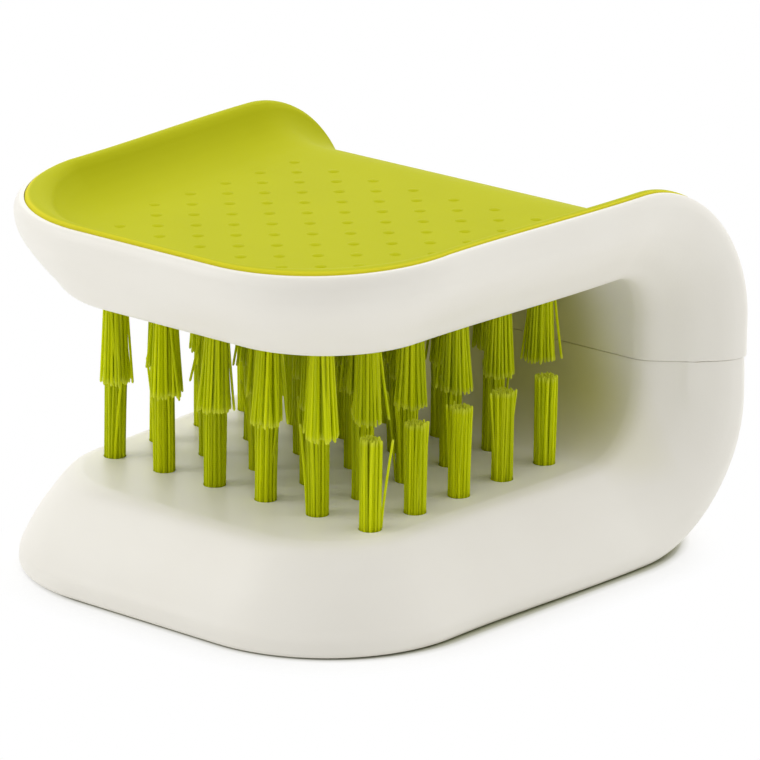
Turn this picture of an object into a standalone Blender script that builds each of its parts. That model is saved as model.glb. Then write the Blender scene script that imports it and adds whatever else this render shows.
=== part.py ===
"""Cutlery brush: a C-shaped holder with tufts on both arms, which cleans both sides of a blade at once.

Frame: the mouth opens towards -Y, the spine is at +Y, X runs across and Z is up. The brush stands on
z = 0, with the middle of its length and width over the origin.
"""

import math

import bmesh
import bpy
from mathutils import Matrix, Vector

MM = 0.001

# Overall form
LENGTH = 90.4 * MM
BASE_TOP = 14.6 * MM
MOUTH_HEIGHT = 28.3 * MM
SEAM_HEIGHT = 28.2 * MM
SPINE_THICKNESS = 13.5 * MM
GAP = 0.3 * MM
OVERRUN = 8.0 * MM

# Upper arm: its underside outline, and the wall that leans out from it to the rim
ARM_FRONT_SETBACK = 8.0 * MM
ARM_HALF_WIDTH = 30.4 * MM
ARM_REAR_HALF_WIDTH = 32.4 * MM
ARM_CORNER_RADIUS = 17.0 * MM
ARM_SPREAD = 8.0 * MM
RIM_FALL = 1.1 * MM

# Base: its top outline, and the wall that leans out from it to the floor
BASE_FRONT_SETBACK = 9.2 * MM
BASE_HALF_WIDTH = 29.8 * MM
BASE_REAR_HALF_WIDTH = 31.8 * MM
BASE_CORNER_RADIUS = 15.5 * MM
BASE_SPREAD = 8.5 * MM
SHELL_STANDOFF = 0.25 * MM

# Spine
SPINE_HALF_WIDTH = 31.6 * MM
SPINE_SPREAD = 10.3 * MM
INNER_FILLET_TOP = 8.5 * MM
INNER_FILLET_BOTTOM = 12.0 * MM
OUTER_ARC_TOP = 23.4 * MM
OUTER_ARC_BOTTOM = 22.4 * MM

# Shells, with a collar on the lower one that plugs into the upper one
WALL = 2.0 * MM
COLLAR_WALL = 1.6 * MM
COLLAR_HEIGHT = 5.0 * MM
COLLAR_ROOT = 1.2 * MM

# Grip: a trough with lips along the top of the arm, in a soft pad on a rigid tray. Where it turns down
# the spine its sides get steeper and its lips lower, and then the trough fades out
RIM_LAND = 0.4 * MM
TROUGH_WIDTH = 13.5 * MM
TROUGH_REAR_WIDTH = 8.4 * MM
TROUGH_NARROW_END = math.radians(45)
TROUGH_DEPTH = 5.2 * MM
TROUGH_FADE_START = math.radians(20)
LIP_WIDTH = 2.4 * MM
LIP_RISE = 0.35 * MM
LIP_REAR_RISE = 0.05 * MM
PAD_THICKNESS = 1.6 * MM
PAD_EDGE = 2.2 * MM
TRAY_THICKNESS = 1.4 * MM
TRAY_FIRST_STEP = 2
GRIP_END = math.radians(78)

# Bumps on the grip, in a lattice turned by 45 degrees
BUMP_STEP = 3.93 * MM
BUMP_FRONT_MARGIN = 17.75 * MM
BUMP_REAR_MARGIN = 4.0 * MM
BUMP_SIDE_MARGIN = 12.5 * MM
BUMP_RADIUS = 0.65 * MM
BUMP_TOP_RADIUS = 0.3 * MM
BUMP_HEIGHT = 0.35 * MM
BUMP_SIDES = 6

# Tufts, in two square lattices half a pitch apart
TUFT_PITCH = 10.0 * MM
TUFT_FRONT_MARGIN = 9.05 * MM
TUFT_REAR_MARGIN = 9.0 * MM
TUFT_SIDE_MARGIN = 4.4 * MM
LOWER_TUFT_LENGTH = 13.6 * MM
TUFT_TIP_GAP = 0.3 * MM
LOWER_FLARE = 0.35 * MM
UPPER_FLARE = 0.85 * MM
STRANDS_IN_RING = 6
STRAND_SIDES = 4
STRAND_ROOT_RADIUS = 0.48 * MM
STRAND_TIP_RADIUS = 0.42 * MM
STRAND_GAP = 0.09 * MM
HOLE_CLEARANCE = 0.5 * MM
HOLE_SIDES = 8
STRIP_THICKNESS = 3.0 * MM
STRIP_HEADROOM = 0.7 * MM
STRIP_WIDTH = 6.0 * MM
STRIP_END = 2.8 * MM
ROOT_SINK = 1.0 * MM

# Underside: a soft foot in the opening of the base, and the cover above it
COVER_INSET = 3.4 * MM
COVER_THICKNESS = 1.8 * MM
COVER_REAR = 17.0 * MM
FOOT_THICKNESS = 1.3 * MM

# Steps of the curved stretches
CORNER_STEPS = 7
ARC_STEPS = 8
LIP_STEPS = 4
TROUGH_STEPS = 6
SHARP_ANGLE = math.radians(35)

# Derived sizes and places
ARM_INSIDE = WALL + GAP + STRIP_THICKNESS + STRIP_HEADROOM
RIM_DEPTH_REAR = ARM_INSIDE + TRAY_THICKNESS + GAP + PAD_THICKNESS + TROUGH_DEPTH
TUFT_RING_RADIUS = 2 * STRAND_ROOT_RADIUS + STRAND_GAP
HOLE_RADIUS = TUFT_RING_RADIUS + STRAND_ROOT_RADIUS + HOLE_CLEARANCE
MOUTH_TOP = BASE_TOP + MOUTH_HEIGHT
FRONT = -LENGTH / 2
BACK = LENGTH / 2
SPINE_INNER = BACK - SPINE_THICKNESS
RIM_HEIGHT = MOUTH_TOP + RIM_DEPTH_REAR
UPPER_TUFT_LENGTH = MOUTH_HEIGHT - LOWER_TUFT_LENGTH - TUFT_TIP_GAP
QUARTER = math.pi / 2

# The leaning wall, as pairs of a share of the depth behind the inner face and a share of the spread
ARM_WALL_SHARES = (
    (0.0, 0.0), (0.02, 0.09), (0.19, 0.34), (0.34, 0.56), (0.49, 0.75),
    (0.62, 0.89), (0.74, 0.97), (0.86, 1.0), (0.955, 0.95), (1.0, 0.86),
)
BASE_WALL_SHARES = (
    (0.0, 0.0), (0.05, 0.14), (0.17, 0.30), (0.31, 0.47), (0.45, 0.64),
    (0.59, 0.78), (0.73, 0.90), (0.86, 0.99), (0.96, 1.0), (1.0, 0.96),
)


def blend(first, last, share):
    return first + (last - first) * share


def eased(share):
    """A share from 0 to 1 that starts and ends gently."""
    share = min(max(share, 0.0), 1.0)
    return share * share * (3 - 2 * share)


def material(name, colour, roughness):
    made = bpy.data.materials.new(name)
    made.use_nodes = True
    shader = made.node_tree.nodes["Principled BSDF"]
    shader.inputs["Base Color"].default_value = (*colour, 1.0)
    shader.inputs["Roughness"].default_value = roughness
    return made


def object_from(name, builder, collection):
    mesh = bpy.data.meshes.new(name)
    builder.to_mesh(mesh)
    builder.free()
    mesh.shade_smooth()
    mesh.set_sharp_from_angle(angle=SHARP_ANGLE)
    made = bpy.data.objects.new(name, mesh)
    collection.objects.link(made)
    return made


def boolean(target, operation, other):
    modifier = target.modifiers.new(operation.lower(), "BOOLEAN")
    modifier.operation = operation
    modifier.object = other


class Station:
    """One place round the outline: a point on the inner face of the C and the one opposite, outside."""

    def __init__(self, side, inner, outer, outward, spread, arm_share):
        self.side = side
        self.inner = Vector(inner)
        self.across = (Vector(outer) - self.inner).normalized()
        self.depth = (Vector(outer) - self.inner).length
        self.outward = outward
        self.spread = spread
        self.arm_share = arm_share
        self.pocket_offset = spread * ARM_WALL_SHARES[-1][1] - RIM_LAND

    def place(self, depth, offset):
        """The point at a depth behind the inner face, moved outwards by an offset."""
        along, height = self.inner + self.across * depth
        return Vector((
            self.side + self.outward[0] * offset,
            along + self.outward[1] * offset,
            height,
        ))

    def wall(self, inset):
        """The wall from the inner face to the outer, with all of it moved into the solid by the inset."""
        points = []
        for arm, base in zip(ARM_WALL_SHARES, BASE_WALL_SHARES):
            depth_share = blend(base[0], arm[0], self.arm_share)
            offset_share = blend(base[1], arm[1], self.arm_share)
            depth = blend(inset, self.depth - inset, depth_share)
            points.append(self.place(depth, offset_share * self.spread - inset))
        return points


def corner_stations(front, half_width, radius, height, outer_heights, spread, arm_share):
    """Round a front corner, from the straight front edge to the straight side."""
    stations = []
    for step in range(CORNER_STEPS + 1):
        angle = QUARTER * (1 - step / CORNER_STEPS)
        outward = (math.cos(angle), -math.sin(angle))
        side = half_width - radius + radius * outward[0]
        along = front + radius + radius * outward[1]
        outer_height = blend(outer_heights[1], outer_heights[0], math.sin(angle))
        outer = (along, outer_height)
        stations.append(Station(side, (along, height), outer, outward, spread, arm_share))
    return stations


def arm_front():
    heights = (RIM_HEIGHT - RIM_FALL, RIM_HEIGHT)
    front = FRONT + ARM_FRONT_SETBACK
    return corner_stations(
        front, ARM_HALF_WIDTH, ARM_CORNER_RADIUS, MOUTH_TOP, heights, ARM_SPREAD, 1.0)


def base_front():
    heights = (SHELL_STANDOFF, SHELL_STANDOFF)
    front = FRONT + BASE_FRONT_SETBACK
    return corner_stations(
        front, BASE_HALF_WIDTH, BASE_CORNER_RADIUS, BASE_TOP, heights, BASE_SPREAD, 0.0)


def bend_station(angle, up, inner_radius, outer_radius, inner_height, outer_height, side, spread):
    """On a bend of the spine, at an angle from the vertical. up is 1 for the upper bend, -1 for the lower."""
    turn = eased(angle / QUARTER)
    inner = (
        SPINE_INNER - inner_radius * (1 - math.sin(angle)),
        inner_height - up * inner_radius * (1 - math.cos(angle)),
    )
    outer = (
        BACK - outer_radius * (1 - math.sin(angle)),
        outer_height - up * outer_radius * (1 - math.cos(angle)),
    )
    return Station(
        blend(side, SPINE_HALF_WIDTH, turn),
        inner,
        outer,
        (1, 0),
        blend(spread, SPINE_SPREAD, turn),
        1.0 if up > 0 else turn,
    )


def upper_bend(end):
    turns = [end * step / ARC_STEPS for step in range(ARC_STEPS + 1)]
    return [
        bend_station(
            angle, 1, INNER_FILLET_TOP, OUTER_ARC_TOP, MOUTH_TOP, RIM_HEIGHT,
            ARM_REAR_HALF_WIDTH, ARM_SPREAD)
        for angle in turns
    ]


def lower_bend():
    turns = [QUARTER * step / ARC_STEPS for step in range(ARC_STEPS, -1, -1)]
    return [
        bend_station(
            angle, -1, INNER_FILLET_BOTTOM, OUTER_ARC_BOTTOM, BASE_TOP, SHELL_STANDOFF,
            BASE_REAR_HALF_WIDTH, BASE_SPREAD)
        for angle in turns
    ]


def mirrored_loft(name, columns, collection, one_face_end=False):
    """A closed solid through columns of points, each with its mirror image across the width.

    A column runs from one broad face to the other. Its ends are joined to their mirror images to make
    those two faces, and the first and last columns are joined across to close the ends. A column that
    doubles back on itself closes its end with one face instead.
    """
    builder = bmesh.new()
    right = [[builder.verts.new(point) for point in column] for column in columns]
    left = [[builder.verts.new((-x, y, z)) for x, y, z in column] for column in columns]
    for near, far, near_left, far_left in zip(right, right[1:], left, left[1:]):
        for low, high in zip(range(len(near)), range(1, len(near))):
            builder.faces.new((near[low], near[high], far[high], far[low]))
            builder.faces.new((near_left[low], far_left[low], far_left[high], near_left[high]))
        builder.faces.new((near[0], far[0], far_left[0], near_left[0]))
        builder.faces.new((near[-1], near_left[-1], far_left[-1], far[-1]))
    stepped_ends = [(right[0], left[0])]
    if one_face_end:
        builder.faces.new(right[-1] + left[-1][::-1])
    else:
        stepped_ends.append((right[-1], left[-1]))
    for end, end_left in stepped_ends:
        for low, high in zip(range(len(end)), range(1, len(end))):
            builder.faces.new((end[low], end_left[low], end_left[high], end[high]))
    bmesh.ops.recalc_face_normals(builder, faces=builder.faces)
    return object_from(name, builder, collection)


def whole_body(name, inset, collection):
    """The C of both shells together, with its faces moved into it by the inset."""
    stations = arm_front() + upper_bend(QUARTER) + lower_bend() + base_front()[::-1]
    return mirrored_loft(name, [s.wall(inset) for s in stations], collection)


def box(name, low, high, collection):
    builder = bmesh.new()
    bmesh.ops.create_cube(builder, size=1)
    size = Vector(high) - Vector(low)
    bmesh.ops.scale(builder, vec=size, verts=builder.verts)
    bmesh.ops.translate(builder, vec=Vector(low) + size / 2, verts=builder.verts)
    return object_from(name, builder, collection)


def level_slab(name, low, high, collection):
    """A slab that reaches past the body on all sides, from one height to another."""
    reach = LENGTH + OVERRUN
    return box(name, (-reach, -reach, low), (reach, reach, high), collection)


def tuft_rows(upper):
    """For each row, its place along the brush and the places of its tufts across.

    The lower rows stand half a pitch behind the upper ones, and their tufts half a pitch to the side.
    """
    first_row = FRONT + ARM_FRONT_SETBACK + TUFT_FRONT_MARGIN
    rows = 1 + math.floor((SPINE_INNER - TUFT_REAR_MARGIN - first_row) / TUFT_PITCH)
    if upper:
        tufts = 1 + 2 * math.floor((ARM_HALF_WIDTH - TUFT_SIDE_MARGIN) / TUFT_PITCH)
    else:
        first_row += TUFT_PITCH / 2
        rows -= 1
        tufts = 2 * round((BASE_HALF_WIDTH - TUFT_SIDE_MARGIN) / TUFT_PITCH)
    first_tuft = -(tufts - 1) / 2 * TUFT_PITCH
    across = [first_tuft + index * TUFT_PITCH for index in range(tufts)]
    return [(first_row + index * TUFT_PITCH, across) for index in range(rows)]


def tuft_holes(name, rows, height, collection):
    builder = bmesh.new()
    for along, across in rows:
        for side in across:
            bmesh.ops.create_cone(
                builder,
                cap_ends=True,
                segments=HOLE_SIDES,
                radius1=HOLE_RADIUS,
                radius2=HOLE_RADIUS,
                depth=2 * WALL + OVERRUN / 2,
                matrix=Matrix.Translation((side, along, height)),
            )
    return object_from(name, builder, collection)


def add_strand(builder, foot, tip):
    """A straight tapered strand from its foot to its tip."""
    direction = tip - foot
    turned = Vector((0, 0, 1)).rotation_difference(direction).to_matrix().to_4x4()
    bmesh.ops.create_cone(
        builder,
        cap_ends=True,
        segments=STRAND_SIDES,
        radius1=STRAND_ROOT_RADIUS,
        radius2=STRAND_TIP_RADIUS,
        depth=direction.length,
        matrix=Matrix.Translation((foot + tip) / 2) @ turned,
    )


def tuft_row(name, along, across, face, up, length, flare, room, parts, cutters):
    """A row of tufts with the strip that they are set in, which lies behind the shell's wall.

    face is the height of the wall that they come out of, up is 1 where they stand and -1 where they
    hang, and room is the space inside the shells, which the strip keeps to.
    """
    strip_face = face - up * (WALL + GAP)
    strip_back = strip_face - up * STRIP_THICKNESS
    half_width = STRIP_WIDTH / 2
    low = (across[0] - STRIP_END, along - half_width, min(strip_face, strip_back))
    high = (across[-1] + STRIP_END, along + half_width, max(strip_face, strip_back))
    row = box(name, low, high, parts)
    boolean(row, "INTERSECT", room)
    foot_height = strip_face - up * ROOT_SINK
    tip_height = face + up * length
    builder = bmesh.new()
    for side in across:
        foot = Vector((side, along, foot_height))
        tip = Vector((side, along, tip_height))
        add_strand(builder, foot, tip)
        for index in range(STRANDS_IN_RING):
            angle = math.tau * index / STRANDS_IN_RING
            outward = Vector((math.cos(angle), math.sin(angle), 0))
            ring_foot = foot + outward * TUFT_RING_RADIUS
            ring_tip = tip + outward * (TUFT_RING_RADIUS + flare)
            add_strand(builder, ring_foot, ring_tip)
    boolean(row, "UNION", object_from(name + "_strands", builder, cutters))
    return row


class Trough:
    """The form of the grip at one station: the lip, and the side and floor of the trough."""

    def __init__(self, station):
        fall = RIM_HEIGHT - station.place(station.depth, 0).z
        at_front = station.outward[1] < 0
        turn = 0.0 if at_front else math.acos(min(1.0, 1 - fall / OUTER_ARC_TOP))
        narrowed = eased(turn / TROUGH_NARROW_END)
        faded = eased((turn - TROUGH_FADE_START) / (GRIP_END - TROUGH_FADE_START))
        self.station = station
        self.depth = TROUGH_DEPTH - fall if at_front else TROUGH_DEPTH * (1 - faded)
        self.width = blend(TROUGH_WIDTH, TROUGH_REAR_WIDTH, narrowed)
        self.lip_rise = blend(LIP_RISE, LIP_REAR_RISE, narrowed)

    def lip_run(self):
        """The upper face of the lip, as pairs of a distance in from the pad's edge and a rise."""
        run = []
        for step in range(LIP_STEPS):
            share = step / LIP_STEPS
            run.append((LIP_WIDTH * share, self.lip_rise * math.sin(math.pi * share)))
        return run + [(LIP_WIDTH, 0.0)]

    def side_run(self, first_step, beneath):
        """The side and floor as such pairs, at a distance beneath the surface, square to it."""
        width = self.width - LIP_WIDTH
        run = []
        for step in range(first_step, TROUGH_STEPS + 1):
            angle = QUARTER * step / TROUGH_STEPS
            square = Vector((self.depth * math.cos(angle), width * math.sin(angle))).normalized()
            inward = self.width - width * math.cos(angle)
            run.append((inward - square.x * beneath, -self.depth * math.sin(angle) - square.y * beneath))
        return run

    def column(self, upper_run, lower_run):
        """A closed run from the middle out along the upper run and back along the lower one."""
        edge = self.station.pocket_offset - GAP / 2
        return [
            self.station.place(self.station.depth + rise, edge - inward)
            for inward, rise in upper_run[::-1] + lower_run
        ]

    def pad_column(self):
        upper_run = self.lip_run() + self.side_run(1, 0)
        lower_run = [(0, -PAD_EDGE)] + self.side_run(1, PAD_THICKNESS)
        return self.column(upper_run, lower_run)

    def tray_column(self):
        beneath = PAD_THICKNESS + GAP
        upper_run = self.side_run(TRAY_FIRST_STEP, beneath)
        lower_run = self.side_run(TRAY_FIRST_STEP, beneath + TRAY_THICKNESS)
        return self.column(upper_run, lower_run)


def bump_places():
    """The lattice of bumps, without the two at the front corners of the trough."""
    places = []
    first_row = FRONT + BUMP_FRONT_MARGIN
    last_row = BACK - OUTER_ARC_TOP - BUMP_REAR_MARGIN
    rows = 1 + math.floor((last_row - first_row) / BUMP_STEP)
    half = math.floor((ARM_HALF_WIDTH + ARM_SPREAD - BUMP_SIDE_MARGIN) / BUMP_STEP)
    for row in range(rows):
        for column in range(-half, half + 1):
            on_lattice = (row + column) % 2 == 1
            on_corner = row < 2 and abs(column) == half
            if on_lattice and not on_corner:
                places.append((column * BUMP_STEP, first_row + row * BUMP_STEP))
    return places


def bumps(name, floor, collection):
    builder = bmesh.new()
    root = floor - PAD_THICKNESS / 2
    top = floor + BUMP_HEIGHT
    root_radius = BUMP_TOP_RADIUS + (BUMP_RADIUS - BUMP_TOP_RADIUS) * (top - root) / BUMP_HEIGHT
    for side, along in bump_places():
        bmesh.ops.create_cone(
            builder,
            cap_ends=True,
            segments=BUMP_SIDES,
            radius1=root_radius,
            radius2=BUMP_TOP_RADIUS,
            depth=top - root,
            matrix=Matrix.Translation((side, along, (top + root) / 2)),
        )
    return object_from(name, builder, collection)


def floor_plate(name, inset, low, high, rear, collection):
    """A level plate with the base's floor outline, set in by the inset, that ends at the rear."""
    front = base_front()
    side_start = front[-1].inner[0]
    share = (rear - side_start) / (BACK - OUTER_ARC_BOTTOM - side_start)
    rear_side = blend(BASE_HALF_WIDTH, BASE_REAR_HALF_WIDTH, share) + BASE_SPREAD - inset
    columns = []
    for station in front:
        offset = BASE_SPREAD - inset
        side = station.side + station.outward[0] * offset
        along = station.inner[0] + station.outward[1] * offset
        columns.append([Vector((side, along, height)) for height in (high, low)])
    columns.append([Vector((rear_side, rear, height)) for height in (high, low)])
    return mirrored_loft(name, columns, collection)


def make_upper_shell(cavity, parts, cutters):
    shell = whole_body("upper_shell", 0, parts)
    above_seam = level_slab("above_seam", SEAM_HEIGHT + GAP / 2, LENGTH, cutters)
    pocket_end = GRIP_END + GAP / OUTER_ARC_TOP
    pocket = mirrored_loft(
        "grip_pocket",
        [
            [
                s.place(s.depth + OVERRUN, s.pocket_offset),
                s.place(s.depth - PAD_EDGE - GAP, s.pocket_offset),
            ]
            for s in arm_front() + upper_bend(pocket_end)
        ],
        cutters,
    )
    holes = tuft_holes("upper_holes", tuft_rows(True), MOUTH_TOP, cutters)
    boolean(shell, "INTERSECT", above_seam)
    for cutter in (holes, cavity, pocket):
        boolean(shell, "DIFFERENCE", cutter)
    return shell


def make_lower_shell(cavity, parts, cutters):
    """The lower shell, with a collar inside its top that grows from a thicker root under the seam."""
    shell = whole_body("lower_shell", 0, parts)
    below_seam = level_slab("below_seam", -OVERRUN, SEAM_HEIGHT - GAP / 2, cutters)
    collar = whole_body("collar", WALL + GAP, cutters)
    root = SEAM_HEIGHT - COLLAR_ROOT
    boolean(collar, "INTERSECT", level_slab("collar_span", root, SEAM_HEIGHT + COLLAR_HEIGHT, cutters))
    bore = whole_body("collar_bore", WALL + GAP + COLLAR_WALL, cutters)
    hollow = level_slab("lower_hollow", -OVERRUN, root, cutters)
    boolean(hollow, "INTERSECT", cavity)
    opening = floor_plate(
        "floor_opening", COVER_INSET, -OVERRUN, SHELL_STANDOFF + OVERRUN / 2, COVER_REAR, cutters)
    holes = tuft_holes("lower_holes", tuft_rows(False), BASE_TOP, cutters)
    boolean(shell, "INTERSECT", below_seam)
    boolean(shell, "UNION", collar)
    for cutter in (holes, bore, hollow, opening):
        boolean(shell, "DIFFERENCE", cutter)
    return shell


def make_grip(parts, cutters):
    troughs = [Trough(station) for station in arm_front() + upper_bend(GRIP_END)]
    pad_columns = [trough.pad_column() for trough in troughs]
    tray_columns = [trough.tray_column() for trough in troughs[:-1]]
    pad = mirrored_loft("grip_pad", pad_columns, parts, one_face_end=True)
    tray = mirrored_loft("grip_tray", tray_columns, parts, one_face_end=True)
    boolean(pad, "UNION", bumps("grip_bumps", RIM_HEIGHT - TROUGH_DEPTH, cutters))
    return pad, tray


def make_underside(parts):
    inset = COVER_INSET + GAP
    rear = COVER_REAR - GAP
    cover_face = FOOT_THICKNESS + GAP
    cover = floor_plate("base_cover", inset, cover_face, cover_face + COVER_THICKNESS, rear, parts)
    foot = floor_plate("base_pad", inset, 0, FOOT_THICKNESS, rear, parts)
    return cover, foot


def main():
    for old in list(bpy.data.objects):
        bpy.data.objects.remove(old, do_unlink=True)
    parts = bpy.data.collections.new("cutlery_brush")
    cutters = bpy.data.collections.new("cutters")
    bpy.context.scene.collection.children.link(parts)
    bpy.context.scene.collection.children.link(cutters)

    white = material("white moulded plastic", (0.82, 0.80, 0.74), 0.4)
    lime = material("lime soft plastic", (0.50, 0.55, 0.03), 0.6)
    nylon = material("lime nylon", (0.38, 0.46, 0.01), 0.4)
    grey = material("grey inner plastic", (0.50, 0.50, 0.48), 0.5)

    cavity = whole_body("cavity", WALL, cutters)
    room = whole_body("room", WALL + GAP, cutters)
    make_upper_shell(cavity, parts, cutters).data.materials.append(white)
    make_lower_shell(cavity, parts, cutters).data.materials.append(white)
    pad, tray = make_grip(parts, cutters)
    pad.data.materials.append(lime)
    tray.data.materials.append(grey)
    cover, foot = make_underside(parts)
    cover.data.materials.append(grey)
    foot.data.materials.append(lime)
    for index, (along, across) in enumerate(tuft_rows(False), 1):
        row = tuft_row(
            f"lower_tuft_row_{index}", along, across, BASE_TOP, 1, LOWER_TUFT_LENGTH,
            LOWER_FLARE, room, parts, cutters)
        row.data.materials.append(nylon)
    for index, (along, across) in enumerate(tuft_rows(True), 1):
        row = tuft_row(
            f"upper_tuft_row_{index}", along, across, MOUTH_TOP, -1, UPPER_TUFT_LENGTH,
            UPPER_FLARE, room, parts, cutters)
        row.data.materials.append(nylon)
    for cutter in cutters.objects:
        cutter.hide_render = True
        cutter.display_type = "WIRE"


main()
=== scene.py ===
from collections import namedtuple
import math
import random

import bpy
import numpy as np
from mathutils import Matrix, Vector


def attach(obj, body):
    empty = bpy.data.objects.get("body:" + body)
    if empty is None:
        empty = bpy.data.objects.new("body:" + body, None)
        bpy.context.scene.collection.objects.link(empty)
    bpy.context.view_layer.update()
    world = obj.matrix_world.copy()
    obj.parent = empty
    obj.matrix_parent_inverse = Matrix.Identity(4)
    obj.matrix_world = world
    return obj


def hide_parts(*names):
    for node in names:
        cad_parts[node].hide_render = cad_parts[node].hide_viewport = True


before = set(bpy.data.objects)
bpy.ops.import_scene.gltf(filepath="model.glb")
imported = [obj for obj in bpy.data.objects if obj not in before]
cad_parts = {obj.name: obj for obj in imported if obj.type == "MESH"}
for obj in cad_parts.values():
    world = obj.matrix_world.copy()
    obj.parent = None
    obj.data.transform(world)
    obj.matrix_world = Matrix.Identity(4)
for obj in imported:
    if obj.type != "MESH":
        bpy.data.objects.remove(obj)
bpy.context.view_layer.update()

MM = 0.001
QUARTER = math.pi / 2

# Sizes of the brush. They follow the solid model's, but the trough's rear and the bumps are drawn finer
LENGTH = 90.4 * MM
FRONT, BACK = -LENGTH / 2, LENGTH / 2
BASE_TOP = 14.6 * MM
MOUTH_TOP = 42.9 * MM
RIM_HEIGHT = 57.4 * MM
SEAM_HEIGHT = 28.2 * MM
SEAM_GAP = 0.03 * MM
UPPER_SEAM_ROUNDING, LOWER_SEAM_ROUNDING = 0.24 * MM, 0.1 * MM
SPINE_INNER = 31.7 * MM
WALL = 2.0 * MM
FLOOR_LIFT = 0.25 * MM
OVERRUN = 8.0 * MM

ARM_FRONT = FRONT + 8.0 * MM
ARM_HALF_WIDTH = 30.4 * MM
ARM_REAR_HALF_WIDTH = 32.4 * MM
ARM_CORNER = 17.0 * MM
ARM_SPREAD = 8.0 * MM
RIM_FALL = 1.1 * MM

BASE_FRONT = FRONT + 9.2 * MM
BASE_HALF_WIDTH = 29.8 * MM
BASE_REAR_HALF_WIDTH = 31.8 * MM
BASE_CORNER = 15.5 * MM
BASE_SPREAD = 8.5 * MM

SPINE_HALF_WIDTH = 31.6 * MM
SPINE_SPREAD = 10.3 * MM
INNER_FILLET_TOP = 8.5 * MM
INNER_FILLET_BOTTOM = 12.0 * MM
OUTER_ARC_TOP = 23.4 * MM
OUTER_ARC_BOTTOM = 22.4 * MM

RIM_LAND = 0.4 * MM
TROUGH_WIDTH = 13.5 * MM
TROUGH_REAR_WIDTH = 7.4 * MM
TROUGH_DEPTH = 5.2 * MM
LIP_WIDTH = 2.4 * MM
PAD_THICKNESS = 1.6 * MM
PAD_EDGE = 2.2 * MM
PAD_GAP = 0.08 * MM
NARROW_END = math.radians(45)
FADE_START = math.radians(20)
GRIP_END = math.radians(78)
POCKET_BEYOND = 0.013
POCKET_CLEARANCE = 0.3 * MM

BUMP_STEP = 3.93 * MM
BUMP_FIRST_ROW = -27.45 * MM
BUMP_ROWS = 12
BUMP_HALF_COLUMNS = 6
BUMP_SHORT_ROWS = 2
BUMP_RADIUS = 1.25 * MM
BUMP_BALL_HEIGHT = 0.75 * MM
BUMP_SUNK = 0.5 * MM

TUFT_PITCH = 10.0 * MM
UPPER_FIRST_ROW = -28.15 * MM
HOLE_RADIUS = 1.72 * MM
HOLE_DEPTH = 1.5 * MM
COVER_INSET = 3.4 * MM
COVER_REAR = 17.0 * MM
COVER_REAR_HALF_WIDTH = BASE_HALF_WIDTH + 1.9 * MM
HOLLOW_BELOW_SEAM = 1.2 * MM

# The leaning wall in shares of the depth and of the spread; the first and last points lie on the flats.
# The spine's inner edge is rounder than the arm's, and the base's lies between the two
ARM_WALL = (
    (0, -0.2), (0, -0.06), (0.004, 0.03), (0.02, 0.09), (0.19, 0.34), (0.34, 0.56), (0.49, 0.75),
    (0.62, 0.89), (0.74, 0.97), (0.86, 1.0), (0.955, 0.95), (1.0, 0.86), (1.0, 0.76),
)
SPINE_WALL = ((0, -0.34), (0, -0.2), (0.018, -0.05), (0.06, 0.085), (0.19, 0.31)) + ARM_WALL[5:]
BASE_WALL = (
    (0, -0.3), (0, -0.16), (0.015, -0.03), (0.05, 0.10), (0.17, 0.295), (0.31, 0.47), (0.45, 0.64),
    (0.59, 0.78), (0.73, 0.90), (0.86, 0.99), (0.96, 1.0), (1.0, 0.96), (1.0, 0.84),
)
# Where the wall turns over into the rim, in shares of the spread
RIM_SHARE = ARM_WALL[-2][1]
# The edge is as round as the spine's when the bend has turned by 1 / 1.6 of its angle
ROUNDER_RATE = 1.6
# Points in each part of a smooth run
RUN_STEPS = 5
# Steps round a front corner, along a side and round a bend of the spine
FINE_STEPS, PANEL_STEPS, COARSE_STEPS = (26, 12, 32), (26, 16, 30), (8, 3, 9)
SPINE_STEPS = 6
COVER_STEPS = 10
# Heights of the cuts in a rounded edge, in shares of its radius
ROUNDING_CUTS = (0, 0.02, 0.08, 0.2, 0.4, 0.65, 1)


def blend(first, last, share):
    return first + (last - first) * share


def eased(share):
    share = min(max(share, 0.0), 1.0)
    return share * share * (3 - 2 * share)


def smooth_run(points):
    """A smooth run through points in a plane, which never swings out past any of them."""
    lengths = [math.dist(a, b) for a, b in zip(points, points[1:])]
    rates = [[(b[i] - a[i]) / n for a, b, n in zip(points, points[1:], lengths)] for i in (0, 1)]
    slopes = []
    for rate in rates:
        inner = [2 * a * b / (a + b) if a * b > 0 else 0.0 for a, b in zip(rate, rate[1:])]
        slopes.append([rate[0]] + inner + [rate[-1]])
    run = [points[0]]
    for index, length in enumerate(lengths):
        for step in range(1, RUN_STEPS + 1):
            t = step / RUN_STEPS
            start, end = (1 + 2 * t) * (1 - t) ** 2, t * t * (3 - 2 * t)
            leave, arrive = t * (1 - t) ** 2 * length, t * t * (t - 1) * length
            run.append(tuple(
                start * points[index][i] + end * points[index + 1][i]
                + leave * slopes[i][index] + arrive * slopes[i][index + 1]
                for i in (0, 1)))
    return run


def wall_run(shares, depth, spread):
    run = smooth_run([(a * depth, b * spread) for a, b in shares])
    return [(a / depth, b / spread) for a, b in run]


COARSE_WALLS = (BASE_WALL[2:-1], ARM_WALL[2:-1], SPINE_WALL[2:-1])
FINE_WALLS = (
    wall_run(BASE_WALL, BASE_TOP - FLOOR_LIFT, BASE_SPREAD),
    wall_run(ARM_WALL, RIM_HEIGHT - MOUTH_TOP, ARM_SPREAD),
    wall_run(SPINE_WALL, BACK - SPINE_INNER, SPINE_SPREAD),
)


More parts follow.
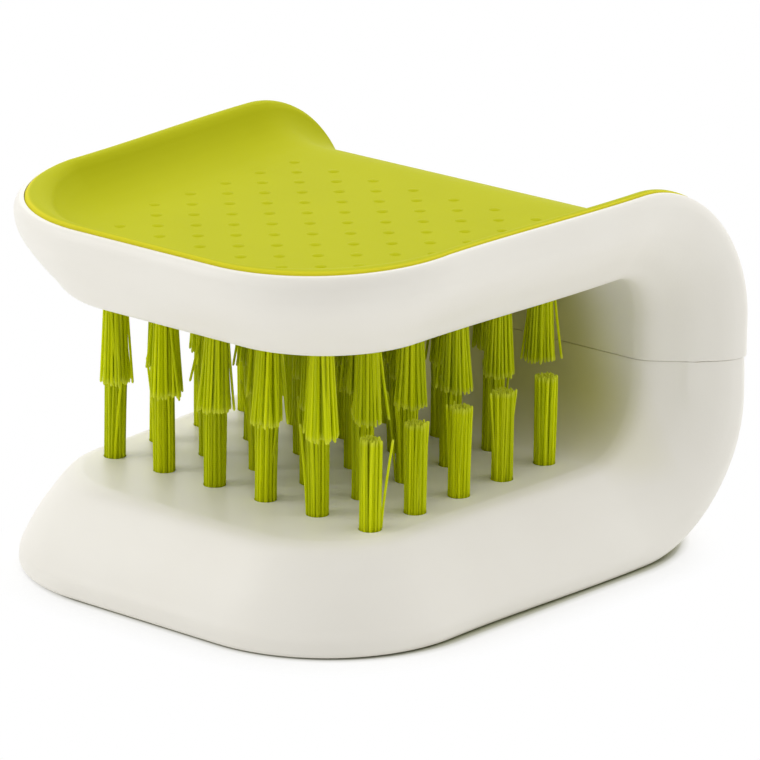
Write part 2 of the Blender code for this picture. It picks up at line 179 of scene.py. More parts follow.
class Section:
    """A cut through the wall of the C, at one place round its outline.

    Its kind is a mix of the base's wall, the arm's and the spine's, as three shares.
    """

    def __init__(self, side, inner, outer, outward, spread, kind):
        self.side, self.inner, self.outer = side, Vector(inner), Vector(outer)
        self.across = (self.outer - self.inner).normalized()
        self.depth = (self.outer - self.inner).length
        self.outward, self.spread, self.kind = outward, spread, Vector(kind)
        self.pocket = spread * RIM_SHARE - RIM_LAND

    def place(self, depth, offset):
        along, height = self.inner + self.across * depth
        return Vector((self.side + self.outward[0] * offset, along + self.outward[1] * offset, height))

    def wall(self, inset=0.0):
        points = []
        for trio in zip(*(COARSE_WALLS if inset else FINE_WALLS)):
            depth_share, offset_share = (self.kind.dot([point[i] for point in trio]) for i in (0, 1))
            depth = blend(inset, self.depth - inset, depth_share)
            points.append(self.place(depth, offset_share * self.spread - inset))
        return points


def between(first, last, steps):
    """Sections on the way from one to another, without either of them."""
    made = []
    for step in range(1, steps):
        share = step / steps
        soft = eased(share)
        made.append(Section(
            blend(first.side, last.side, soft),
            first.inner.lerp(last.inner, share),
            first.outer.lerp(last.outer, share),
            last.outward,
            blend(first.spread, last.spread, soft),
            first.kind.lerp(last.kind, soft)))
    return made


def front_sections(front, half_width, corner, height, outer_height, fall, spread, kind, steps):
    """From the middle of the front edge round the corner to the side."""
    low = outer_height - fall
    made = [Section(0, (front, height), (front, low), (0, -1), spread, kind)]
    for step in range(steps + 1):
        angle = QUARTER * (1 - step / steps)
        outward = (math.cos(angle), -math.sin(angle))
        along = front + corner * (1 - math.sin(angle))
        rim = blend(outer_height, low, math.sin(angle))
        side = half_width - corner * (1 - outward[0])
        made.append(Section(side, (along, height), (along, rim), outward, spread, kind))
    return made


def bend_section(angle, up):
    """On the upper bend of the spine (up is 1) or the lower (-1), at an angle from the arm."""
    turn = eased(angle / QUARTER)
    rounder = eased(ROUNDER_RATE * angle / QUARTER)
    inner_radius = INNER_FILLET_TOP if up > 0 else INNER_FILLET_BOTTOM
    outer_radius = OUTER_ARC_TOP if up > 0 else OUTER_ARC_BOTTOM
    height = MOUTH_TOP if up > 0 else BASE_TOP
    outer_height = RIM_HEIGHT if up > 0 else FLOOR_LIFT
    side = ARM_REAR_HALF_WIDTH if up > 0 else BASE_REAR_HALF_WIDTH
    spread = ARM_SPREAD if up > 0 else BASE_SPREAD
    kind = (0, 1 - rounder, rounder) if up > 0 else (1 - turn, 0, turn)
    back, drop = 1 - math.sin(angle), 1 - math.cos(angle)
    return Section(
        blend(side, SPINE_HALF_WIDTH, turn),
        (SPINE_INNER - inner_radius * back, height - up * inner_radius * drop),
        (BACK - outer_radius * back, outer_height - up * outer_radius * drop),
        (1, 0),
        blend(spread, SPINE_SPREAD, turn),
        kind)


def arm_front(steps):
    return front_sections(
        ARM_FRONT, ARM_HALF_WIDTH, ARM_CORNER, MOUTH_TOP, RIM_HEIGHT, RIM_FALL, ARM_SPREAD,
        (0, 1, 0), steps)


def base_front(steps):
    return front_sections(
        BASE_FRONT, BASE_HALF_WIDTH, BASE_CORNER, BASE_TOP, FLOOR_LIFT, 0.0, BASE_SPREAD,
        (1, 0, 0), steps)


def arm_sections(end, corner_steps, side_steps, bend_steps):
    """The arm from the middle of its front edge to an angle on the upper bend."""
    made = arm_front(corner_steps)
    bend = [bend_section(end * step / bend_steps, 1) for step in range(bend_steps + 1)]
    return made + between(made[-1], bend[0], side_steps) + bend


def body_sections(fine):
    corner, side, bend = FINE_STEPS if fine else COARSE_STEPS
    made = arm_sections(QUARTER, corner, side, bend)
    lower = [bend_section(QUARTER * (1 - step / bend), -1) for step in range(bend + 1)]
    made += between(made[-1], lower[0], SPINE_STEPS) + lower
    base = base_front(corner)[::-1]
    return made + between(made[-1], base[0], side) + base


# Modelling by hand

def only(piece):
    bpy.ops.object.select_all(action="DESELECT")
    piece.select_set(True)
    bpy.context.view_layer.objects.active = piece


def new_primitive(kind, name, **settings):
    bpy.ops.object.select_all(action="DESELECT")
    getattr(bpy.ops.mesh, f"primitive_{kind}_add")(**settings)
    piece = bpy.context.object
    piece.name = piece.data.name = name
    return piece


def finish_modifier(piece, kind, **settings):
    only(piece)
    modifier = piece.modifiers.new(kind.lower(), kind)
    for name, value in settings.items():
        setattr(modifier, name, value)
    bpy.ops.object.modifier_apply(modifier=modifier.name)


def cut(piece, cutter, operation="DIFFERENCE"):
    finish_modifier(piece, "BOOLEAN", operation=operation, object=cutter, solver="EXACT")
    bpy.data.objects.remove(cutter, do_unlink=True)


def edit(piece):
    only(piece)
    bpy.ops.object.mode_set(mode="EDIT")


def done():
    bpy.ops.object.mode_set(mode="OBJECT")


def smooth(piece, degrees=32):
    only(piece)
    bpy.ops.object.shade_smooth_by_angle(angle=math.radians(degrees))


def skin(name, columns, front_ends):
    """A closed form from a grid whose columns of points follow the sections of its right half.

    A front end is a column that already lies in the middle plane: the first, or the first and the last.
    The edges of all other columns are drawn on to the middle, the half is mirrored, and an end that is
    left open is filled.
    """
    last_column, last_row = len(columns) - 1, len(columns[0]) - 1
    piece = new_primitive("grid", name, x_subdivisions=last_column, y_subdivisions=last_row, size=2)
    mesh = piece.data
    edges_of_skin = {}
    for vertex in mesh.vertices:
        column = round((vertex.co.x + 1) / 2 * last_column)
        row = round((vertex.co.y + 1) / 2 * last_row)
        crossed = 1 <= column <= last_column - (front_ends - 1)
        edges_of_skin[vertex.index] = row if crossed else None
        vertex.co = columns[column][row]
    for ends in (0, last_row):
        for part in (mesh.vertices, mesh.polygons):
            part.foreach_set("select", [False] * len(part))
        for edge in mesh.edges:
            edge.select = all(edges_of_skin.get(v) == ends for v in edge.vertices)
        edit(piece)
        bpy.context.tool_settings.mesh_select_mode = (False, True, False)
        bpy.ops.mesh.extrude_edges_move()
        bpy.ops.transform.resize(value=(0, 1, 1), center_override=(0, 0, 0))
        done()
    finish_modifier(piece, "MIRROR", merge_threshold=0.01 * MM, use_mirror_merge=True)
    edit(piece)
    bpy.ops.mesh.select_all(action="SELECT")
    bpy.ops.mesh.remove_doubles(threshold=0.002 * MM)
    bpy.ops.mesh.fill_holes(sides=0)
    bpy.ops.mesh.select_all(action="SELECT")
    bpy.ops.mesh.normals_make_consistent(inside=False)
    done()
    return piece


def whole_c(name, inset=0.0):
    return skin(name, [section.wall(inset) for section in body_sections(inset == 0)], 2)


def cut_level(piece, height, keep_above, radius):
    """Cuts the piece level, rounds the new edge off to the radius and closes it."""
    up = 1 if keep_above else -1
    edit(piece)
    for rise in ROUNDING_CUTS:
        bpy.ops.mesh.select_all(action="SELECT")
        bpy.ops.mesh.bisect(
            plane_co=(0, 0, height + up * rise * radius), plane_no=(0, 0, 1),
            clear_inner=keep_above and not rise, clear_outer=not keep_above and not rise)
    done()
    for vertex in piece.data.vertices:
        left = 1 - up * (vertex.co.z - height) / radius
        if left > 0:
            sideways = Vector((vertex.normal.x, vertex.normal.y, 0)).normalized()
            vertex.co -= sideways * radius * (1 - math.sqrt(max(0.0, 1 - left * left)))
    edit(piece)
    bpy.ops.mesh.select_all(action="SELECT")
    bpy.ops.mesh.fill_holes(sides=0)
    bpy.ops.mesh.select_all(action="SELECT")
    bpy.ops.mesh.normals_make_consistent(inside=False)
    done()


def slab(name, low, high):
    """A block between two heights that is wider than the brush."""
    reach = 2 * LENGTH
    piece = new_primitive("cube", name, size=1, location=(0, 0, (low + high) / 2))
    piece.scale = (reach, reach, high - low)
    bpy.ops.object.transform_apply(location=True, rotation=True, scale=True)
    return piece


def tuft_places(upper):
    """Each row's place along the brush, with the places of its tufts across it."""
    rows = range(6 if upper else 5)
    first = UPPER_FIRST_ROW if upper else UPPER_FIRST_ROW + TUFT_PITCH / 2
    across = range(-2, 3) if upper else [index + 0.5 for index in range(-3, 3)]
    return [(first + row * TUFT_PITCH, [index * TUFT_PITCH for index in across]) for row in rows]


def tuft_holes(upper):
    """A set of round cutters, one for each tuft, joined into one piece."""
    height = MOUTH_TOP if upper else BASE_TOP
    pieces = []
    for along, across in tuft_places(upper):
        for side in across:
            pieces.append(new_primitive(
                "cylinder", "hole", vertices=28, radius=HOLE_RADIUS, depth=2 * HOLE_DEPTH,
                location=(side, along, height)))
    for piece in pieces:
        piece.select_set(True)
    bpy.ops.object.join()
    bpy.ops.object.transform_apply(location=True, rotation=True, scale=True)
    return bpy.context.object


def upper_body():
    piece = whole_c("upper_body")
    cut_level(piece, SEAM_HEIGHT + SEAM_GAP / 2, True, UPPER_SEAM_ROUNDING)
    cut(piece, tuft_holes(True))
    cut(piece, whole_c("hollow", WALL))
    sections = arm_sections(GRIP_END + POCKET_BEYOND, *FINE_STEPS)
    depths = (OVERRUN, -PAD_EDGE - POCKET_CLEARANCE)
    columns = [[s.place(s.depth + d, s.pocket) for d in depths] for s in sections]
    cut(piece, skin("pocket", columns, 1))
    smooth(piece)
    return piece


def draw_in_at_seam(piece):
    """Makes the lower half of the spine a little smaller towards the seam, where the upper one juts out."""
    low, run, front = 12 * MM, 16 * MM, 20 * MM
    narrowing, step_back = 0.0045, 0.18 * MM
    outer_face = SPINE_INNER + 4 * MM
    for vertex in piece.data.vertices:
        share = eased((vertex.co.z - low) / run)
        if vertex.co.y > front and share:
            vertex.co.x *= 1 - narrowing * share
            if vertex.co.y > outer_face:
                vertex.co.y -= step_back * share


def lower_body():
    piece = whole_c("lower_body")
    cut_level(piece, SEAM_HEIGHT - SEAM_GAP / 2, False, LOWER_SEAM_ROUNDING)
    draw_in_at_seam(piece)
    cut(piece, tuft_holes(False))
    hollow = whole_c("hollow", WALL)
    cut(hollow, slab("below", -OVERRUN, SEAM_HEIGHT - HOLLOW_BELOW_SEAM), "INTERSECT")
    cut(piece, hollow)
    rear = Section(
        COVER_REAR_HALF_WIDTH, (COVER_REAR, 0), (COVER_REAR, 1), (1, 0), BASE_SPREAD, (1, 0, 0))
    columns = []
    for section in base_front(COVER_STEPS) + [rear]:
        side = section.side + section.outward[0] * (BASE_SPREAD - COVER_INSET)
        along = section.inner[0] + section.outward[1] * (BASE_SPREAD - COVER_INSET)
        columns.append([Vector((side, along, z)) for z in (FLOOR_LIFT + OVERRUN / 2, -OVERRUN)])
    cut(piece, skin("floor_opening", columns, 1))
    smooth(piece)
    return piece


# The lip is higher along the front and lower down the back than at the side, and broader at the corners
FRONT_LIP_RISE = 0.7
REAR_LIP_FALL = 0.85
CORNER_LIP_BREADTH = 1.6


def trough_at(section):
    """The trough's depth and width at a section, and the lip's rise in shares of its rise at the side."""
    fall = RIM_HEIGHT - section.place(section.depth, 0).z
    if section.outward[1] < 0:
        return TROUGH_DEPTH - fall, TROUGH_WIDTH, 1 - FRONT_LIP_RISE * section.outward[1]
    turn = math.acos(min(1.0, 1 - fall / OUTER_ARC_TOP))
    narrowed = eased(turn / NARROW_END)
    faded = eased((turn - FADE_START) / (GRIP_END - FADE_START))
    wide = blend(TROUGH_WIDTH, TROUGH_REAR_WIDTH, narrowed)
    return TROUGH_DEPTH * (1 - faded), wide, 1 - REAR_LIP_FALL * narrowed


# The soft panel's upper face, from its edge in, as places inwards and heights: a rolled lip in
# millimetres, then the side of the trough in shares of its width and depth
LIP_RUN = ((0.0, -0.7), (0.02, -0.2), (0.13, 0.14), (0.42, 0.31), (0.85, 0.34), (1.45, 0.2))
TROUGH_RUN = (
    (0.0, -0.09), (0.05, -0.26), (0.125, -0.46), (0.275, -0.7), (0.48, -0.865), (0.74, -0.966),
    (1.0, -1.0),
)
LIP_END = 2.2 * MM
UNDERSIDE_STEPS = 12


def grip_column(section):
    """A cut through the panel from the middle of its upper face, round its edge and back underneath."""
    deep, wide, high = trough_at(section)
    edge = section.pocket - PAD_GAP
    broad = 1 + max(0.0, -CORNER_LIP_BREADTH * section.outward[0] * section.outward[1])
    top = [(a * MM * (broad if b > 0 else 1), b * MM * (high if b > 0 else 1)) for a, b in LIP_RUN]
    top += [(blend(LIP_END * broad, wide, a), b * deep) for a, b in TROUGH_RUN]
    top = smooth_run(top)
    width = wide - LIP_WIDTH
    under = [(0.0, -PAD_EDGE)]
    for step in range(1, UNDERSIDE_STEPS + 1):
        angle = QUARTER * step / UNDERSIDE_STEPS
        square = Vector((deep * math.cos(angle), width * math.sin(angle))).normalized()
        under.append((
            wide - width * math.cos(angle) - square.x * PAD_THICKNESS,
            -deep * math.sin(angle) - square.y * PAD_THICKNESS))
    return [section.place(section.depth + rise, edge - inward) for inward, rise in top[::-1] + under]


def grip_bumps(floor):
    """The lattice of low round bumps: flattened balls, sunk more than half into the floor."""
    pieces = []
    for row in range(BUMP_ROWS):
        for column in range(-BUMP_HALF_COLUMNS, BUMP_HALF_COLUMNS + 1):
            at_end = row < BUMP_SHORT_ROWS and abs(column) == BUMP_HALF_COLUMNS
            if (row + column) % 2 == 0 or at_end:
                continue
            place = (column * BUMP_STEP, BUMP_FIRST_ROW + row * BUMP_STEP)
            piece = new_primitive(
                "uv_sphere", "bump", segments=20, ring_count=14, radius=1,
                location=(*place, floor - BUMP_SUNK))
            piece.scale = (BUMP_RADIUS, BUMP_RADIUS, BUMP_BALL_HEIGHT)
            pieces.append(piece)
    for piece in pieces:
        piece.select_set(True)
    bpy.ops.object.join()
    bpy.ops.object.transform_apply(location=True, rotation=True, scale=True)
    return bpy.context.object


def grip_panel():
    """The soft panel, with how far each point of its edge faces outwards as an attribute, the mask of the
    painted highlight on its rolled lip.
    """
    columns = [grip_column(section) for section in arm_sections(GRIP_END, *PANEL_STEPS)]
    piece = skin("grip_panel", columns, 1)
    floor, bumps_end = RIM_HEIGHT - TROUGH_DEPTH, (BUMP_HALF_COLUMNS + 1) * BUMP_STEP
    cut(piece, grip_bumps(floor), "UNION")
    smooth(piece, degrees=24)
    outward = []
    for vertex in piece.data.vertices:
        away = Vector((vertex.co.x, min(vertex.co.y, 0), 0)).normalized()
        bumpy = abs(vertex.co.z - floor) < BUMP_BALL_HEIGHT and abs(vertex.co.x) < bumps_end
        outward.append(0.0 if bumpy else max(0.0, vertex.normal.dot(away)))
    piece.data.attributes.new("outward", "FLOAT", "POINT").data.foreach_set("value", outward)
    return piece


# Tufts of nylon filament
FILAMENTS = 60
FILAMENT_RADIUS = 0.205 * MM
FILAMENT_CUTS = (0.3, 0.6, 0.85, 0.985)
TIP_SHARE = 0.5
ROOT_RADIUS = 1.52 * MM
ROOT_SUNK = HOLE_DEPTH - 0.1 * MM
TUFT_LEAN = 0.15 * MM
BEND_POWER = 1.25
BOW = 0.05 * MM
# How far filaments end from their place in the tuft: most of them, and the few that cross others
PLAIN_SPREAD, CROSSING_SPREAD, CROSSING_SHARE = 0.1 * MM, 0.8 * MM, 0.05
# Strays are filaments of the outer ring that stick out by this much of their distance from the middle
OUTER_RING, STRAY_REACH = 0.8, (0.4, 0.9)
# A set's free length, the range of its tufts' splay, its share of strays and how uneven its ends are
TuftSet = namedtuple("TuftSet", "length splay strays ragged")
UPPER_SET = TuftSet(14.6 * MM, (1.35, 1.85), 0.1, 0.32 * MM)
LOWER_SET = TuftSet(13.65 * MM, (1.0, 1.08), 0.04, 0.14 * MM)


def filament():
    """One filament of length 1 and radius 1 with a rounded tip, for all the others to be copied from."""
    piece = new_primitive("cylinder", "filament", vertices=5, radius=1, depth=1, location=(0, 0, 0.5))
    bpy.ops.object.transform_apply(location=True, rotation=True, scale=True)
    edit(piece)
    for height in FILAMENT_CUTS:
        bpy.ops.mesh.select_all(action="SELECT")
        bpy.ops.mesh.bisect(plane_co=(0, 0, height), plane_no=(0, 0, 1))
    done()
    for vertex in piece.data.vertices:
        if vertex.co.z > (1 + FILAMENT_CUTS[-1]) / 2:
            vertex.co.x *= TIP_SHARE
            vertex.co.y *= TIP_SHARE
    return piece


def tuft_row(name, model, along, across, upper, seed):
    """A row of tufts: copies of one filament, each with its own length, lean, bow and shade.

    The tufts of the arm are splayed by use. In both sets some outer filaments stick out, and a few
    lie across the others.
    """
    chance = random.Random(seed)
    outline = np.array([v.co[:] for v in model.data.vertices])
    faces = [list(p.vertices) for p in model.data.polygons]
    height = outline[:, 2]
    face = MOUTH_TOP if upper else BASE_TOP
    up = -1 if upper else 1
    foot = face - up * ROOT_SUNK
    tufts = UPPER_SET if upper else LOWER_SET
    places, polygons, shades, shares = [], [], [], []
    for side in across:
        lean = chance.gauss(0, TUFT_LEAN), chance.gauss(0, TUFT_LEAN)
        splay = chance.uniform(*tufts.splay)
        for index in range(FILAMENTS):
            radius = ROOT_RADIUS * math.sqrt((index + 0.5) / FILAMENTS)
            angle = index * math.pi * (3 - math.sqrt(5))
            root = radius * math.cos(angle), radius * math.sin(angle)
            stray = radius > OUTER_RING * ROOT_RADIUS and chance.random() < tufts.strays
            out = splay + (chance.uniform(*STRAY_REACH) if stray else 0.0)
            spread = CROSSING_SPREAD if chance.random() < CROSSING_SHARE else PLAIN_SPREAD
            reach = [root[i] * out + lean[i] + chance.gauss(0, spread) for i in (0, 1)]
            bow = chance.gauss(0, BOW), chance.gauss(0, BOW)
            tall = tufts.length - abs(chance.gauss(0, tufts.ragged)) + HOLE_DEPTH
            turn = chance.random() * math.tau
            x = outline[:, 0] * math.cos(turn) - outline[:, 1] * math.sin(turn)
            y = outline[:, 0] * math.sin(turn) + outline[:, 1] * math.cos(turn)
            curve = height ** BEND_POWER
            swell = np.sin(height * math.pi)
            points = np.stack((
                side + root[0] + (reach[0] - root[0]) * curve + bow[0] * swell + x * FILAMENT_RADIUS,
                along + root[1] + (reach[1] - root[1]) * curve + bow[1] * swell + y * FILAMENT_RADIUS,
                foot + up * tall * height), axis=1)
            start = len(places) * len(outline)
            places.append(points)
            polygons += [[start + v for v in (p if up > 0 else p[::-1])] for p in faces]
            shades += [chance.random()] * len(outline)
            shares += list(height)
    mesh = bpy.data.meshes.new(name)
    mesh.from_pydata(np.concatenate(places).tolist(), [], polygons)
    for label, values in (("shade", shades), ("along", shares)):
        mesh.attributes.new(label, "FLOAT", "POINT").data.foreach_set("value", values)
    piece = bpy.data.objects.new(name, mesh)
    bpy.context.scene.collection.objects.link(piece)
    smooth(piece, degrees=50)
    return piece


# Finishes. A real moulding's grain is about 0.1 mm, which would not show, so it is drawn coarser
MOTTLE = 14 * MM
ABS_GRAIN, ELASTOMER_GRAIN = 0.35 * MM, 0.45 * MM

def linear(colour):
    """A colour written as sRGB hex, in the linear values that shaders take."""
    parts = [int(colour[i:i + 2], 16) / 255 for i in (1, 3, 5)]
    return [p / 12.92 if p <= 0.04045 else ((p + 0.055) / 1.055) ** 2.4 for p in parts] + [1.0]


def add(tree, kind, inputs=None, **settings):
    made = tree.nodes.new("ShaderNode" + kind)
    for name, value in settings.items():
        setattr(made, name, value)
    for socket, value in (inputs or {}).items():
        if isinstance(value, bpy.types.NodeSocket):
            tree.links.new(value, made.inputs[socket])
        else:
            made.inputs[socket].default_value = value
    return made


def new_finish(name):
    made = bpy.data.materials.new(name)
    made.use_nodes = True
    made.node_tree.nodes.clear()
    return made, made.node_tree


def close_finish(tree, shader):
    add(tree, "OutputMaterial", {"Surface": shader.outputs[0]})


def mottled(tree, where, size, low, high, detail=2.0):
    """A soft change between two colours, in patches of a real size."""
    noise = add(tree, "TexNoise", {"Vector": where, "Scale": 1 / size, "Detail": detail})
    return add(tree, "MixRGB", {
        "Fac": noise.outputs["Fac"], "Color1": linear(low), "Color2": linear(high)})


def lime_light(tree, where):
    """How much of the bristles' lime light falls on the spine's inner face, most low in its middle."""
    slant, full, none = 0.5, 32 * MM, 46 * MM
    spots = add(tree, "SeparateXYZ", {0: where})
    across = add(tree, "Math", {0: spots.outputs["X"]}, operation="ABSOLUTE").outputs[0]
    slanted = add(tree, "Math", {
        0: spots.outputs["Z"], 1: slant, 2: across}, operation="MULTIPLY_ADD").outputs[0]
    share = add(tree, "MapRange", {
        "Value": slanted, "From Min": full, "From Max": none, "To Min": 1, "To Max": 0},
        interpolation_type="SMOOTHSTEP").outputs[0]
    limits = (
        ("Y", 20 * MM, SPINE_INNER - 1 * MM),
        ("Y", SPINE_INNER + 1.5 * MM, SPINE_INNER + 0.5 * MM),
        ("Z", BASE_TOP - 4 * MM, BASE_TOP - 0.5 * MM))
    for axis, low, high in limits:
        near = add(tree, "MapRange", {
            "Value": spots.outputs[axis], "From Min": low, "From Max": high}).outputs[0]
        share = add(tree, "Math", {0: share, 1: near}, operation="MULTIPLY").outputs[0]
    return share


def moulded(name, low, high, roughness, grain, depth, soften=0.0, shine=0.5, edge=None, lit=None):
    """A moulded plastic whose tool was spark-eroded: an even, very fine orange peel.

    An edge colour is a painted highlight for a piece with the attribute "outward": it lightens its rolled
    outer edge where that faces outwards.
    A lit colour is what the white turns to where the bristles throw their light on it.
    """
    made, tree = new_finish(name)
    where = add(tree, "TexCoord").outputs["Object"]
    colour = mottled(tree, where, MOTTLE, low, high)
    if edge:
        # Painted highlight: the rolled edge turns lighter and yellower where it faces outwards
        outward = add(tree, "Attribute", attribute_name="outward").outputs["Fac"]
        share = add(tree, "MapRange", {"Value": outward, "From Min": 0.08, "From Max": 0.5}).outputs[0]
        colour = add(tree, "MixRGB", {
            "Fac": share, "Color1": colour.outputs[0], "Color2": linear(edge)})
    if lit:
        colour = add(tree, "MixRGB", {
            "Fac": lime_light(tree, where), "Color1": colour.outputs[0], "Color2": linear(lit)})
    uneven = 0.05
    peel = add(tree, "TexNoise", {"Vector": where, "Scale": 1 / grain, "Detail": 1.0})
    rough = add(tree, "MapRange", {
        "Value": peel.outputs["Fac"], "To Min": roughness - uneven, "To Max": roughness + uneven})
    height = add(tree, "Bump", {
        "Height": peel.outputs["Fac"], "Strength": 0.35, "Distance": depth})
    shader = add(tree, "BsdfPrincipled", {
        "Base Color": colour.outputs[0], "Roughness": rough.outputs[0], "IOR": 1.5,
        "Normal": height.outputs[0], "Subsurface Weight": soften, "Specular IOR Level": shine,
        "Subsurface Radius": (1, 1, 1), "Subsurface Scale": 1.2 * MM})
    close_finish(tree, shader)
    return made


def nylon():
    """Extruded nylon filament: smooth, so thin that light goes through it, and pale at its cut tip."""
    made, tree = new_finish("extruded nylon, lime")
    shade = add(tree, "Attribute", attribute_name="shade").outputs["Fac"]
    share = add(tree, "Attribute", attribute_name="along").outputs["Fac"]
    body = add(tree, "MixRGB", {
        "Fac": shade, "Color1": linear("#D6E000"), "Color2": linear("#F0F606")}).outputs[0]
    tip = add(tree, "MapRange", {
        "Value": share, "From Min": 0.94, "From Max": 1.0, "To Max": 0.6}).outputs[0]
    colour = add(tree, "MixRGB", {"Fac": tip, "Color1": body, "Color2": linear("#F0F460")}).outputs[0]
    surface = add(tree, "BsdfPrincipled", {
        "Base Color": colour, "Roughness": 0.4, "IOR": 1.53, "Specular IOR Level": 0.15})
    through = add(tree, "BsdfTranslucent", {"Color": colour})
    close_finish(tree, add(tree, "MixShader", {
        0: 0.4, 1: surface.outputs[0], 2: through.outputs[0]}))
    return made


def seen_directly(tree):
    """One for what the camera sees, also in a reflection or through a piece, and nought for other light."""
    ray = add(tree, "LightPath")
    shown = ray.outputs["Is Camera Ray"]
    for kind in ("Is Glossy Ray", "Is Transmission Ray"):
        shown = add(tree, "Math", {0: shown, 1: ray.outputs[kind]}, operation="MAXIMUM").outputs[0]
    return shown


# The contact patch is the rounded outline of the base on the floor. Its half width is the one at the
# origin, and it grows by the widening for each length towards the spine
PATCH_CORNER = 24 * MM
PATCH_FRONT, PATCH_REAR = BASE_FRONT - BASE_SPREAD + 0.3 * MM, 45 * MM
PATCH_HALF_WIDTH = BASE_REAR_HALF_WIDTH + BASE_SPREAD - 0.9 * MM
PATCH_WIDENING = 0.049
# The patch reaches back under the spine's bend and is shifted to the right, so the painted contact shadow
# lies heavier there
PATCH_SHIFT = 0.8 * MM
# Where the floor's ramps start and end outside the contact patch, and the most that they reach: the
# white that hides the shadow's end, the painted contact shadow of olive grey that fades to the board's
# white, and the white that other light meets
SHADOW_END = (-0.2 * MM, 7 * MM, 1)
PAINTED_CONTACT_SHADOW = (-1.2 * MM, 1.2 * MM, 1)
BOUNCED_WHITE = (-1 * MM, 0.8 * MM, 0.33)
SHADOW_FADE = 0.4


def floor_finish():
    """A white sweep that keeps the soft shadow near the brush and is plain white further out, with a
    painted shadow of olive grey along the base's contact line.
    """
    made, tree = new_finish("matt white board")
    where = add(tree, "TexCoord").outputs["Object"]
    middle, half_length = (PATCH_FRONT + PATCH_REAR) / 2, (PATCH_REAR - PATCH_FRONT) / 2
    straight = (PATCH_HALF_WIDTH - PATCH_CORNER, half_length - PATCH_CORNER, 1)
    along = add(tree, "SeparateXYZ", {0: where}).outputs["Y"]
    wider = add(tree, "Math", {0: along, 1: PATCH_WIDENING}, operation="MULTIPLY").outputs[0]
    wider = add(tree, "CombineXYZ", {"X": wider}).outputs[0]
    past = add(tree, "VectorMath", {
        0: where, 1: (PATCH_SHIFT, middle, 0)}, operation="SUBTRACT").outputs[0]
    past = add(tree, "VectorMath", {0: past}, operation="ABSOLUTE").outputs[0]
    past = add(tree, "VectorMath", {0: past, 1: straight}, operation="SUBTRACT").outputs[0]
    past = add(tree, "VectorMath", {0: past, 1: wider}, operation="SUBTRACT").outputs[0]
    past = add(tree, "VectorMath", {0: past, 1: (0, 0, 0)}, operation="MAXIMUM").outputs[0]
    far = add(tree, "VectorMath", {0: past}, operation="LENGTH").outputs["Value"]
    fade, near, beside = (
        add(tree, "MapRange", {
            "Value": far, "From Min": PATCH_CORNER + first, "From Max": PATCH_CORNER + last,
            "To Max": most}).outputs[0]
        for first, last, most in (SHADOW_END, PAINTED_CONTACT_SHADOW, BOUNCED_WHITE))
    fade = add(tree, "Math", {0: fade, 1: SHADOW_FADE}, operation="POWER").outputs[0]
    amount = add(tree, "Mix", {0: seen_directly(tree), 2: beside, 3: fade}).outputs[0]
    # Painted contact shadow: the board is olive grey at the base's outline and turns white a millimetre or
    # so out
    painted_shadow = add(tree, "MixRGB", {"Fac": near, "Color1": linear("#A2A388"), "Color2": linear("#FFFFFF")})
    board = add(tree, "BsdfDiffuse", {"Color": painted_shadow.outputs[0]})
    white = add(tree, "Emission", {"Color": linear("#FFFFFF"), "Strength": 1.0})
    mixed = add(tree, "MixShader", {0: amount, 1: board.outputs[0], 2: white.outputs[0]})
    close_finish(tree, mixed)
    return made


def dress(piece, finish, *nodes, slot):
    piece.data.materials.clear()
    piece.data.materials.append(finish)
    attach(piece, "root")
    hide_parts(*nodes)


def carry_over(node, finish):
    """Gives a solid that stays as it is a finish of its own."""
    for index in range(max(1, len(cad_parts[node].material_slots))):
        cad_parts[node].material_slots[index].material = finish


# Camera of the photograph, found from its rows of tufts
CAMERA_TURN, CAMERA_DROP, CAMERA_ROLL = 0.700883748, 0.310067545, 0.00765807617
CAMERA_PLACE = Vector((506.934, -592.346, 276.028)) * MM
CAMERA_FOCUS = 5500 / 760

# The studio: where the lamps point, and the dome's light from above and from behind, each of which
# is all there at a rise
LAMPS_AIM = Vector((0, 0, 30)) * MM
DOME_LIGHT = (("Z", 0.86), ("Y", 0.9))
DOME_RISE = 0.7


def place_camera():
    def turned(v):
        return Vector((-v[1], v[0], v[2]))

    ct, st = math.cos(CAMERA_TURN), math.sin(CAMERA_TURN)
    cd, sd = math.cos(CAMERA_DROP), math.sin(CAMERA_DROP)
    ahead = Vector((ct * cd, st * cd, -sd))
    right = Vector((st, -ct, 0))
    above = right.cross(ahead)
    cr, sr = math.cos(CAMERA_ROLL), math.sin(CAMERA_ROLL)
    axes = Matrix((turned(cr * right + sr * above), turned(cr * above - sr * right), -turned(ahead)))
    data = bpy.data.cameras.new("camera")
    data.sensor_width = 36
    data.lens = CAMERA_FOCUS * data.sensor_width
    data.clip_start, data.clip_end = 10 * MM, 20
    camera = bpy.data.objects.new("camera", data)
    bpy.context.scene.collection.objects.link(camera)
    camera.matrix_world = Matrix.Translation(CAMERA_PLACE) @ axes.transposed().to_4x4()
    bpy.context.scene.camera = camera


def add_lamp(name, place, size, power):
    data = bpy.data.lights.new(name, "AREA")
    data.shape, data.size, data.energy = "DISK", size, power
    lamp = bpy.data.objects.new(name, data)
    bpy.context.scene.collection.objects.link(lamp)
    lamp.location = place
    lamp.rotation_euler = (LAMPS_AIM - Vector(place)).to_track_quat("-Z", "Y").to_euler()


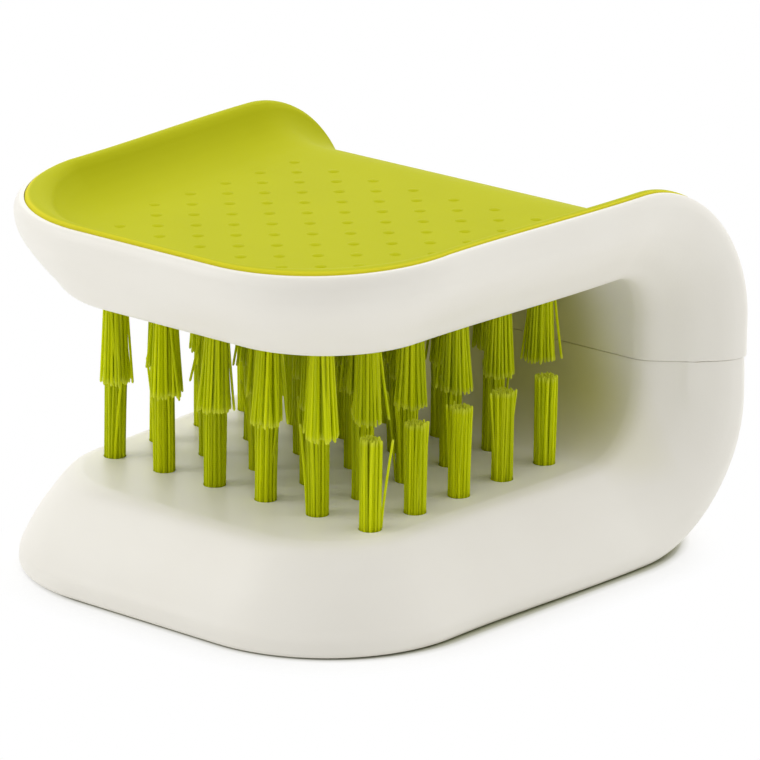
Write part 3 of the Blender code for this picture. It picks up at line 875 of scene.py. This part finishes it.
def light_and_floor():
    floor = new_primitive("plane", "floor", size=6)
    floor.data.materials.append(floor_finish())
    add_lamp("softbox_left", (-0.6, -0.6, 0.55), size=0.6, power=2.45)
    add_lamp("softbox_back", (-0.7, 0.5, 0.5), size=0.6, power=0.7)
    world = bpy.data.worlds.new("studio")
    bpy.context.scene.world = world
    world.use_nodes = True
    tree = world.node_tree
    tree.nodes.clear()
    towards = add(tree, "SeparateXYZ", {0: add(tree, "TexCoord").outputs["Generated"]})
    above, behind = (
        add(tree, "MapRange", {
            "Value": towards.outputs[axis], "From Max": DOME_RISE, "To Max": most}).outputs[0]
        for axis, most in DOME_LIGHT)
    dome = add(tree, "Math", {0: above, 1: behind}, operation="ADD").outputs[0]
    strength = add(tree, "Mix", {0: seen_directly(tree), 2: dome, 3: 1.0}).outputs[0]
    light = add(tree, "Background", {"Color": linear("#FFFFFF"), "Strength": strength})
    add(tree, "OutputWorld", {"Surface": light.outputs[0]})
    bpy.context.scene.view_settings.view_transform = "Standard"


# Moulded ABS is a satin warm white with broad, weak highlights
white = moulded(
    "moulded ABS, warm white", "#F4F1E8", "#EFEBE1", roughness=0.42, grain=ABS_GRAIN,
    depth=0.02 * MM, soften=0.05, lit="#DAD592")
# Moulded elastomer is matt, nearly without highlights, and light enters its skin a little
elastomer = {
    "roughness": 0.65, "grain": ELASTOMER_GRAIN, "depth": 0.03 * MM, "soften": 0.12, "shine": 0.08}
# The lime's edge colour is a painted highlight: its rolled lip is drawn lighter and yellower where it faces
# outwards
lime = moulded(
    "moulded thermoplastic elastomer, lime", "#B5B702", "#BCBE06", edge="#DCD42A", **elastomer)
foot_lime = moulded(
    "moulded thermoplastic elastomer, lime, foot", "#B5B702", "#BCBE06", **elastomer)
# The inner mouldings are plain grey ABS, duller than the white
grey = moulded(
    "moulded ABS, light grey", "#A9A9A4", "#A0A09B", roughness=0.5, grain=0.4 * MM, depth=0.02 * MM)
filament_lime = nylon()

dress(upper_body(), white, "upper_shell", slot="shell_white")
dress(lower_body(), white, "lower_shell", slot="shell_white")
dress(grip_panel(), lime, "grip_pad", slot="grip_lime")
model = filament()
for upper, label in ((False, "lower"), (True, "upper")):
    for index, (along, across) in enumerate(tuft_places(upper), 1):
        row = tuft_row(f"{label}_bristles_{index}", model, along, across, upper, 40 * upper + index)
        dress(row, filament_lime, f"{label}_tuft_row_{index}", slot="nylon_lime")
bpy.data.objects.remove(model, do_unlink=True)
carry_over("grip_tray", grey)
carry_over("base_cover", grey)
carry_over("base_pad", foot_lime)

place_camera()
light_and_floor()
